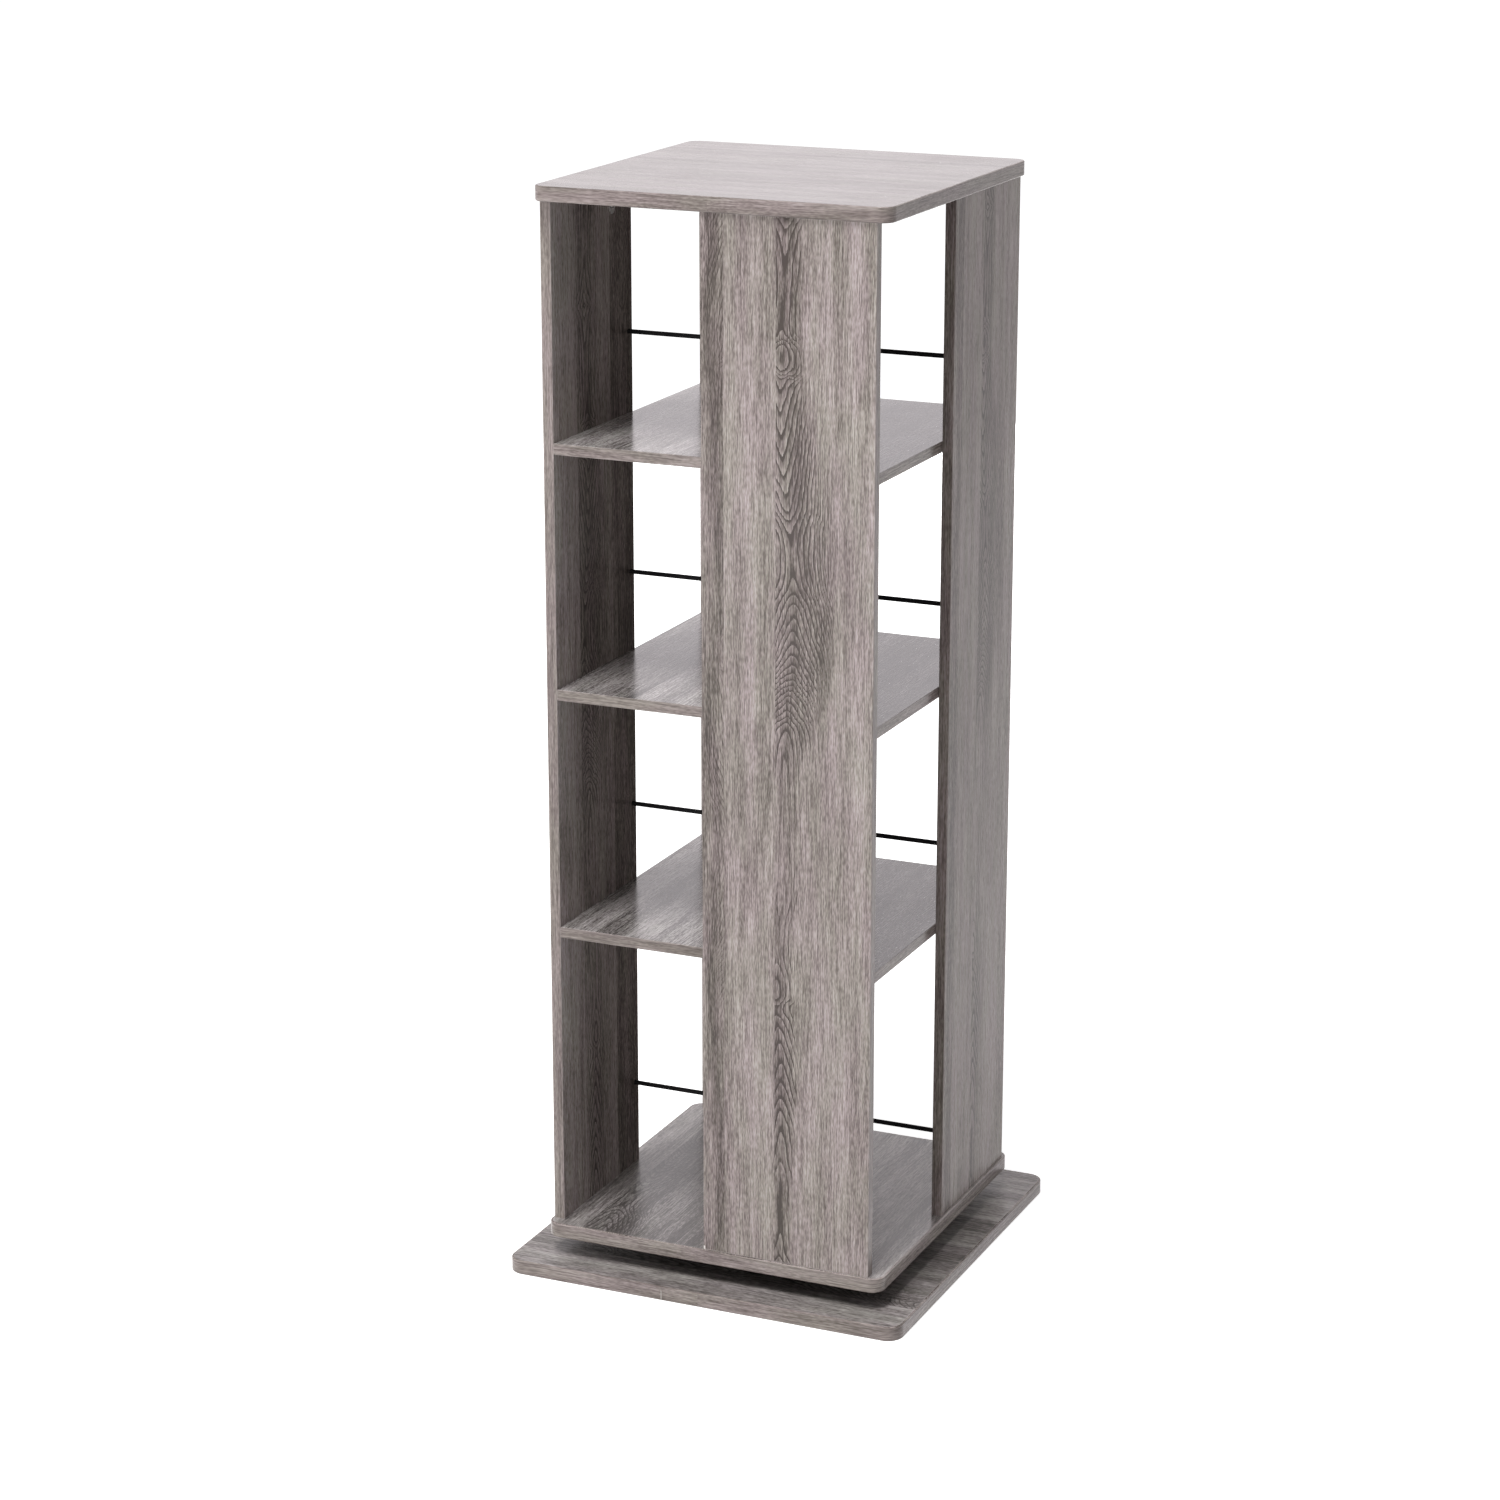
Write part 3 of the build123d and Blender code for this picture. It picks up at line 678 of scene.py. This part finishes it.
# %% [markdown]
# ## One oak finish for each board
#
# The boards share the print but not the part of it that shows, just as boards sawn from different places of
# a printed sheet differ. One material for all would show the same grain on every shelf. So each board gets
# its own: a Mapping node moves the print to the board's corner and turns it so that X runs across the grain
# and Y along it, and a seed changes the fibres.

# %% Helpers for finishes
def finish(name):
    """A new material with its node tree and its Principled shader."""
    material = bpy.data.materials.new(name)
    material.use_nodes = True
    tree = material.node_tree
    return material, tree, tree.nodes["Principled BSDF"]


def emboss(tree, shader, height, strength, depth):
    """A fine relief, depth metres deep, in the shader's normal."""
    bump = add(tree, "Bump", {"Strength": strength, "Distance": depth, "Height": height})
    feed(tree, shader.inputs["Normal"], bump.outputs[0])


def dress(material, *names):
    """Put the material into every slot of these CAD nodes."""
    for name in names:
        for slot in nodes[name].material_slots:
            slot.material = material


print("helpers:", finish.__name__, "and", emboss.__name__, "and", dress.__name__)

# %% The board's own axes
def print_start(low, high, turn, print_at):
    """Where the print starts, if the lowest corner of a board from low to high shows its place print_at."""
    corners = (turn @ low, turn @ high)
    least = Vector(min(pair) for pair in zip(*corners))
    return turn.transposed() @ (least - Vector((*print_at, 0)))


def turned(tree, turn, start):
    """Points and normals in the board's own axes; the rows of turn are across, along and through."""
    angles = turn.to_euler("XYZ")
    place = add(tree, "TexCoord").outputs
    shift = -(turn @ start)
    inputs = {"Vector": place["Object"], "Location": shift, "Rotation": angles}
    mapped = add(tree, "Mapping", inputs, vector_type="POINT")
    facing = add(tree, "Mapping", {"Vector": place["Normal"], "Rotation": angles}, vector_type="VECTOR")
    return mapped.outputs[0], facing.outputs[0]


UPRIGHT_FACING_FRONT = Matrix(((1, 0, 0), (0, 0, 1), (0, -1, 0)))
UPRIGHT_FACING_RIGHT = Matrix(((0, 1, 0), (0, 0, 1), (1, 0, 0)))
UPRIGHT_FACING_BACK = Matrix(((-1, 0, 0), (0, 0, 1), (0, 1, 0)))
UPRIGHT_FACING_LEFT = Matrix(((0, -1, 0), (0, 0, 1), (-1, 0, 0)))
LYING_GRAIN_DEEP = Matrix(((1, 0, 0), (0, 1, 0), (0, 0, 1)))
LYING_GRAIN_DEEP_TURNED = Matrix(((-1, 0, 0), (0, -1, 0), (0, 0, 1)))
LYING_GRAIN_WIDE = Matrix(((0, 1, 0), (-1, 0, 0), (0, 0, 1)))
print("helpers:", print_start.__name__, "and", turned.__name__)

# %% Paler arrises with painted highlights, and pale spots
# The pale colour along the arrises is rubbed foil together with a painted highlight.
ARRIS_PALE_AND_HIGHLIGHT = (0.46, 0.42, 0.41, 1)
# The pale core colour also paints the glint on the front panel's corner.
PALE_CORE_AND_GLINT = (0.72, 0.68, 0.64, 1)
BOARD_WEAR_AND_HIGHLIGHT = 0.3
BAND_WEAR_AND_HIGHLIGHT = 0.12


def arrises_worn_and_highlit(tree, colour, low, high, share):
    """The colour, paler along the arrises of a board from low to high: rubbed foil and a painted highlight.
    """
    centred = add(tree, "Mapping", {"Vector": own_point(tree), "Location": -(low + high) / 2})
    worn = use(tree, arris, {"Point": centred.outputs[0], "Half Size": (high - low) / 2})
    return mixed(tree, calc(tree, "MULTIPLY", worn["Worn And Highlit"], share), colour, ARRIS_PALE_AND_HIGHLIGHT)


def pale_core_and_glint(tree, colour, centre, size, strength):
    """The colour, with a ragged pale spot, used for the pale core at a seam and for a painted glint on a
    corner.
    """
    core = use(tree, pale_mark, {"Point": own_point(tree), "Centre": centre, "Size": size})
    return mixed(tree, calc(tree, "MULTIPLY", core["Mask"], strength), colour, PALE_CORE_AND_GLINT)


print("helpers:", arrises_worn_and_highlit.__name__, "and", pale_core_and_glint.__name__)

# %% A painted glint on a corner and a seam
GLINT_RISE = 0.001
GLINT_SIZE = (0.0022, 0.0030, 0.0034)
SEAM_ACROSS = -0.043
SEAM_RISE = 0.006
SEAM_SIZE = (0.0008, 0.0100, 0.0080)

panel_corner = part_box("panel_front")[0]
band_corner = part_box("base_edge_band")[0]
# This pale spot on the lower-left corner of the front panel is a painted glint.
painted_corner_glint = {
    "centre": panel_corner + Vector((0, 0, GLINT_RISE)),
    "size": GLINT_SIZE,
    "strength": 1.0,
}
band_seam = {
    "centre": (SEAM_ACROSS, band_corner.y, SEAM_RISE),
    "size": SEAM_SIZE,
    "strength": 0.5,
}
# The first place printed is the painted glint, the second the pale core at the band seam.
print("the core shows at", painted_corner_glint["centre"], "and", band_seam["centre"])

# %% Oak material
FOIL_IOR = 1.33
DULL_FOIL_IOR = 1.20
GLOSSY = 0.16
SILKY = 0.21
SATIN = 0.30
TOUCHED = 0.05
FOIL_BUMP = 0.5
FOIL_RELIEF = 0.00004


def oak(name, node, turn, print_at=(0.0, 0.0), seed=0.0, band=False, lacquer=0.0, sheen=GLOSSY,
        ior=FOIL_IOR, even=0.0, depth=0.0, darker=0.0, ash=0.0, pale_spot=None):
    """Grey oak foil on one board.

    print_at is the place of the print at the board's lowest corner. sheen is the roughness of the foil, ior
    its index of refraction and lacquer the weight of a clear coat on its faces. even levels the planks and
    ash takes colour out, both from 0 to 1. depth adds contrast to the fibres, and darker lowers the tone.
    The last argument puts on a pale spot, which is the pale core at the base band's seam and a painted glint
    at the front panel's corner.
    """
    material, tree, shader = finish(name)
    low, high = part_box(node)
    start = print_start(low, high, turn, print_at)
    point, facing = turned(tree, turn, start)
    middle = turn @ ((low + high) / 2 - start)
    lay = use(tree, grain_lay, {"Point": point, "Facing": facing, "Round": float(band), "Middle": middle})
    board = {"Seed": seed, "Even": even, "Extra Depth": depth, "Darker": darker}
    for key in ("Across", "Along", "Edge"):
        board[key] = lay[key]
    wood = use(tree, oak_print, board)
    on_face = flipped(tree, lay["Edge"])
    greyed = add(tree, "HueSaturation", {"Saturation": 1.0 - ash, "Fac": on_face, "Color": wood["Color"]})
    colour = arrises_worn_and_highlit(tree, greyed.outputs[0], low, high, BAND_WEAR_AND_HIGHLIGHT if band else BOARD_WEAR_AND_HIGHLIGHT)
    if pale_spot:
        colour = pale_core_and_glint(tree, colour, **pale_spot)
    feed(tree, shader.inputs["Base Color"], colour)
    marks = use(tree, touch_marks, {"Point": point, "Seed": seed})
    feed(tree, shader.inputs["Roughness"], ease(tree, marks["Patch"], 0.0, 1.0, sheen, sheen + TOUCHED))
    shader.inputs["IOR"].default_value = ior
    if lacquer:
        feed(tree, shader.inputs["Coat Weight"], ease(tree, lay["Edge"], 0.0, 1.0, lacquer, 0.0))
        shader.inputs["Coat Roughness"].default_value = sheen
    emboss(tree, shader, wood["Relief"], FOIL_BUMP, FOIL_RELIEF)
    dress(material, node)


print("helper:", oak.__name__)

# %% Oak on the panels
# The front panel gets a painted glint on its lower-left corner.
oak("oak_panel_front", "panel_front", UPRIGHT_FACING_FRONT, seed=3.0, pale_spot=painted_corner_glint)
oak("oak_panel_right", "panel_right", UPRIGHT_FACING_RIGHT, seed=11.0, print_at=(0.0, 0.02),
    ior=DULL_FOIL_IOR, even=0.15, depth=-0.15)
oak("oak_panel_back", "panel_back", UPRIGHT_FACING_BACK, seed=17.0, print_at=(0.0, 0.05))
oak("oak_panel_left", "panel_left", UPRIGHT_FACING_LEFT, seed=23.0, print_at=(0.0, -0.03))
print("oak boards:", len([made for made in bpy.data.materials if made.name.startswith("oak")]))

# %% Oak on the shelves and the deck
oak("oak_shelf_lower", "shelf_lower", LYING_GRAIN_DEEP, seed=31.0, print_at=(0.358, 0.4),
    lacquer=0.76, sheen=SILKY, even=0.3, depth=0.40, darker=0.04, ash=0.45)
oak("oak_shelf_middle", "shelf_middle", LYING_GRAIN_DEEP, seed=37.0, print_at=(0.335, 0.5),
    lacquer=0.75, sheen=SILKY, even=0.3, depth=0.35, darker=0.05, ash=0.45)
oak("oak_shelf_upper", "shelf_upper", LYING_GRAIN_DEEP, seed=41.0, print_at=(0.345, 0.7),
    lacquer=0.50, even=0.3, depth=0.35, darker=-0.05, ash=0.45)
oak("oak_deck", "deck_board", LYING_GRAIN_DEEP_TURNED, seed=43.0, print_at=(-0.01, 0.33),
    lacquer=0.82, sheen=SATIN, depth=0.25, darker=0.12, ash=0.45)
oak("oak_deck_band", "deck_edge_band", LYING_GRAIN_DEEP, seed=44.0, print_at=(0.0, 0.3), band=True)
print("oak boards:", len([made for made in bpy.data.materials if made.name.startswith("oak")]))

# %% Oak on the top and the base
oak("oak_top", "top_board", LYING_GRAIN_WIDE, seed=47.0, print_at=(0.09, 0.2),
    lacquer=0.26, even=0.8, depth=-0.3, ash=0.3)
oak("oak_top_band", "top_edge_band", LYING_GRAIN_WIDE, seed=48.0, print_at=(0.0, 0.2), band=True)
oak("oak_base", "base_board", LYING_GRAIN_WIDE, seed=53.0, print_at=(0.03, 0.6),
    lacquer=0.20, sheen=SATIN, even=0.25, depth=0.3, darker=0.01, ash=0.35)
oak("oak_base_band", "base_edge_band", LYING_GRAIN_WIDE, seed=54.0, print_at=(0.0, 0.6), band=True,
    pale_spot=band_seam)
print("oak boards:", len([made for made in bpy.data.materials if made.name.startswith("oak")]))

# %% [markdown]
# ## Wear on metal and the skin of paint
#
# The fittings are small, but they show when the tower is looked at from below or taken apart. Plain colours
# would make them look like toys, so two groups give them their surface. The first makes cloudy patches and
# fine drawn lines, as plating and wire drawing leave them. The second makes the tiny bumps of a sprayed
# coat, which scatter a highlight without dulling it.

# %% Node group: metal wear
CLOUD_RANGE = (0.32, 0.68)
LINE_RANGE = (0.30, 0.70)
LINES_PER_METRE = (2400.0, 2400.0, 150.0)

metal_wear, given, result = new_group(
    "Metal wear", {"Point": "Vector", "Seed": "Float"}, {"Cloud": "Float", "Lines": "Float"}
)
tree = metal_wear
moved = vector_calc(tree, "ADD", given["Point"], given["Seed"])
cloud = noise(tree, moved, scale=180.0, detail=4.0, rough=0.6)
feed(tree, result["Cloud"], ease(tree, cloud, *CLOUD_RANGE))
squeezed = vector_calc(tree, "MULTIPLY", moved, LINES_PER_METRE)
lines = noise(tree, squeezed, scale=1.0, detail=2.0)
feed(tree, result["Lines"], ease(tree, lines, *LINE_RANGE))
print("node group:", metal_wear.name)

# %% Node group: sprayed skin
DUST_RANGE = (0.40, 0.75)

sprayed_skin, given, result = new_group(
    "Sprayed skin", {"Point": "Vector", "Seed": "Float"}, {"Bumps": "Float", "Dust": "Float"}
)
tree = sprayed_skin
moved = vector_calc(tree, "ADD", given["Point"], given["Seed"])
feed(tree, result["Bumps"], noise(tree, moved, scale=900.0, detail=1.0))
dust = noise(tree, moved, scale=70.0, detail=5.0, rough=0.65)
feed(tree, result["Dust"], ease(tree, dust, *DUST_RANGE))
print("node group:", sprayed_skin.name)

# %% [markdown]
# ## Rods, plates and fittings
#
# The rods and the swivel plates are steel with a black sprayed coat, the cam locks are die-cast zinc, and
# the bolts, screws and the king pin are plated steel. The balls are polished. Naming every solid would be a
# long list, so each finish goes to all the solids that the model lists under its slot, and a fitting added
# later is dressed as well.

# %% Solids of one slot
def solids_with(slot_name):
    """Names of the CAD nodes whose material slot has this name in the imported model."""
    found = []
    for name, solid in nodes.items():
        worn = [slot.material.name for slot in solid.material_slots if slot.material]
        if slot_name in worn:
            found.append(name)
    return found


print("black rods:", solids_with("black_rod"))

# %% Black coat
COAT_BUMP = 0.3
COAT_RELIEF = 0.00006


def black_coat(name, slot_name, dark, dusty, roughness, ior, seed):
    """Black sprayed steel: fine bumps in the coat and a little dust that greys it in patches."""
    material, tree, shader = finish(name)
    skin = use(tree, sprayed_skin, {"Point": own_point(tree), "Seed": seed})
    feed(tree, shader.inputs["Base Color"], mixed(tree, skin["Dust"], dark, dusty))
    feed(tree, shader.inputs["Roughness"], ease(tree, skin["Dust"], 0.0, 1.0, *roughness))
    shader.inputs["IOR"].default_value = ior
    emboss(tree, shader, skin["Bumps"], COAT_BUMP, COAT_RELIEF)
    dress(material, *solids_with(slot_name))


black_coat(
    "black_rod_coat", "black_rod",
    dark=(0.010, 0.010, 0.011, 1), dusty=(0.018, 0.017, 0.017, 1),
    roughness=(0.35, 0.45), ior=1.20, seed=2.0,
)
black_coat(
    "black_plate_coat", "black_plate",
    dark=(0.020, 0.020, 0.021, 1), dusty=(0.040, 0.039, 0.038, 1),
    roughness=(0.38, 0.55), ior=1.40, seed=5.0,
)
print("black coats:", [made.name for made in bpy.data.materials if made.name.endswith("coat")])

# %% Bare metal
METAL_BUMP = 0.3


def bare_metal(name, slot_name, dull, bright, roughness, relief, seed):
    """Metal with cloudy plating and fine drawn lines, relief metres deep."""
    material, tree, shader = finish(name)
    wear = use(tree, metal_wear, {"Point": own_point(tree), "Seed": seed})
    feed(tree, shader.inputs["Base Color"], mixed(tree, wear["Cloud"], dull, bright))
    feed(tree, shader.inputs["Roughness"], ease(tree, wear["Cloud"], 0.0, 1.0, *roughness))
    shader.inputs["Metallic"].default_value = 1.0
    emboss(tree, shader, wear["Lines"], METAL_BUMP, relief)
    dress(material, *solids_with(slot_name))


bare_metal(
    "cast_zinc", "zinc_cam",
    dull=(0.36, 0.36, 0.35, 1), bright=(0.52, 0.52, 0.51, 1),
    roughness=(0.34, 0.24), relief=0.00004, seed=1.0,
)
bare_metal(
    "plated_screw_steel", "plated_steel",
    dull=(0.46, 0.46, 0.48, 1), bright=(0.60, 0.60, 0.61, 1),
    roughness=(0.36, 0.22), relief=0.00002, seed=3.0,
)
bare_metal(
    "polished_ball_steel", "ball_steel",
    dull=(0.60, 0.60, 0.61, 1), bright=(0.68, 0.68, 0.69, 1),
    roughness=(0.14, 0.07), relief=0.000004, seed=4.0,
)
print("bare metals: cast zinc and", [made.name for made in bpy.data.materials if "_steel" in made.name])

# %% [markdown]
# ## Nylon and beech
#
# The cage that keeps the balls apart and the bush on the king pin are natural nylon, which is milky and a
# little dull where it was handled. The dowels are bare beech. A wood of its own would be more work than
# such small pieces are worth, so the beech borrows the fibres of the oak in warmer colours.

# %% Natural nylon
CLEAN_NYLON = (0.72, 0.71, 0.66, 1)
DULL_NYLON = (0.62, 0.60, 0.54, 1)
NYLON_ROUGHNESS = (0.40, 0.55)

material, tree, shader = finish("natural_nylon")
skin = use(tree, sprayed_skin, {"Point": own_point(tree), "Seed": 8.0})
feed(tree, shader.inputs["Base Color"], mixed(tree, skin["Dust"], CLEAN_NYLON, DULL_NYLON))
feed(tree, shader.inputs["Roughness"], ease(tree, skin["Dust"], 0.0, 1.0, *NYLON_ROUGHNESS))
emboss(tree, shader, skin["Bumps"], strength=0.2, depth=0.00004)
dress(material, *solids_with("nylon"))
print("finish:", material.name)

# %% Bare beech
BEECH_PORE = (0.40, 0.26, 0.15, 1)
BEECH_WOOD = (0.60, 0.43, 0.28, 1)
BEECH_STREAK = (0.56, 0.40, 0.26, 1)
BEECH_ROUGHNESS = (0.72, 0.58)

material, tree, shader = finish("bare_beech")
place = axes_of(tree, own_point(tree))
lie = calc(tree, "ADD", place["X"], place["Y"])
strand = use(tree, fibres, {"Across": place["Z"], "Along": lie, "Seed": 9.0})
flecked = mixed(tree, strand["Pores"], BEECH_PORE, BEECH_WOOD)
feed(tree, shader.inputs["Base Color"], mixed(tree, strand["Streaks"], flecked, BEECH_STREAK))
feed(tree, shader.inputs["Roughness"], ease(tree, strand["Pores"], 0.0, 1.0, *BEECH_ROUGHNESS))
emboss(tree, shader, strand["Pores"], strength=0.4, depth=0.00005)
dress(material, *solids_with("beech_dowel"))
print("solids dressed in all:", sum(1 for solid in nodes.values() if solid.material_slots))
